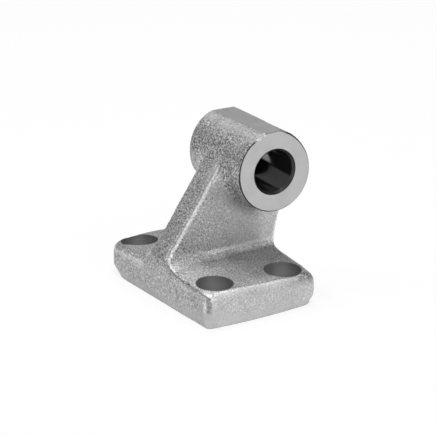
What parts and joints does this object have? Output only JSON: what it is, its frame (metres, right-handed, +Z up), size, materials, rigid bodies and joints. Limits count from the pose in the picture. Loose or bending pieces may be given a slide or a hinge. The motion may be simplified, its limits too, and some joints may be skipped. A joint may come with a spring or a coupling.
{
  "type": "cylinder bearing block",
  "caption": "Cast bearing block for a pneumatic cylinder: a rectangular bolt-down plate with a leaning web that carries a tube hub with a swivel pin bore.",
  "frame": {"origin": "centre of the four-bolt pattern on the machined foot", "axes": "+X along the pin bore, +Y across the plate towards the side the hub leans to, +Z up from the foot"},
  "size_m": [0.0546, 0.042, 0.0472],
  "materials": {
    "cast_metal": "bare blasted grey casting with a fine sand grain; foot, hub end faces and bore machined smooth"
  },
  "bodies": {
    "root": {"bearing_block": "cast_metal"}
  },
  "joints": []
}
